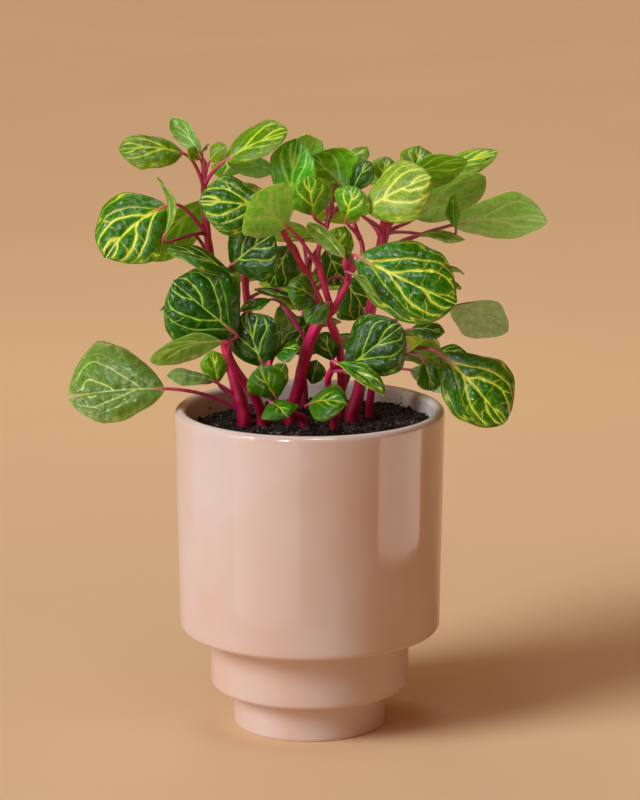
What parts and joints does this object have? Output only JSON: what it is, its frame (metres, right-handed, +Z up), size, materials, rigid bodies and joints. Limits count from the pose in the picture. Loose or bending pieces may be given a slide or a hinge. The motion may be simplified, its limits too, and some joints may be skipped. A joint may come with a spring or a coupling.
{
  "type": "potted bloodleaf",
  "caption": "Bushy foliage plant with magenta stems and broad yellow-veined green leaves, growing from soil in a glazed pot whose body steps in to a narrow foot.",
  "frame": {"origin": "middle of the pot's flat foot, on the surface that the pot stands on", "axes": "+Z up along the pot's axis; -Y is the side seen in the picture, +X to its right"},
  "size_m": [0.2385, 0.1694, 0.3088],
  "materials": {
    "glaze": "glossy pale peach glaze",
    "soil": "dark crumbly potting soil; wood stands in for the light peat mix",
    "leaf": "fresh leaves and stems; leather stands in for plant tissue",
    "stalk": "magenta stems and leaf stalks; leather stands in for plant tissue"
  },
  "bodies": {
    "root": {"pot": "glaze", "soil": "soil", "stem_left": "leaf", "stem_left_low": "leaf", "stem_centre": "leaf", "stem_crossing": "leaf", "stem_front": "leaf", "stem_front_right": "leaf", "stem_right": "leaf", "stem_right_low": "leaf", "stem_back_left": "leaf", "stem_back_right": "leaf", "stem_back": "leaf"}
  },
  "joints": []
}
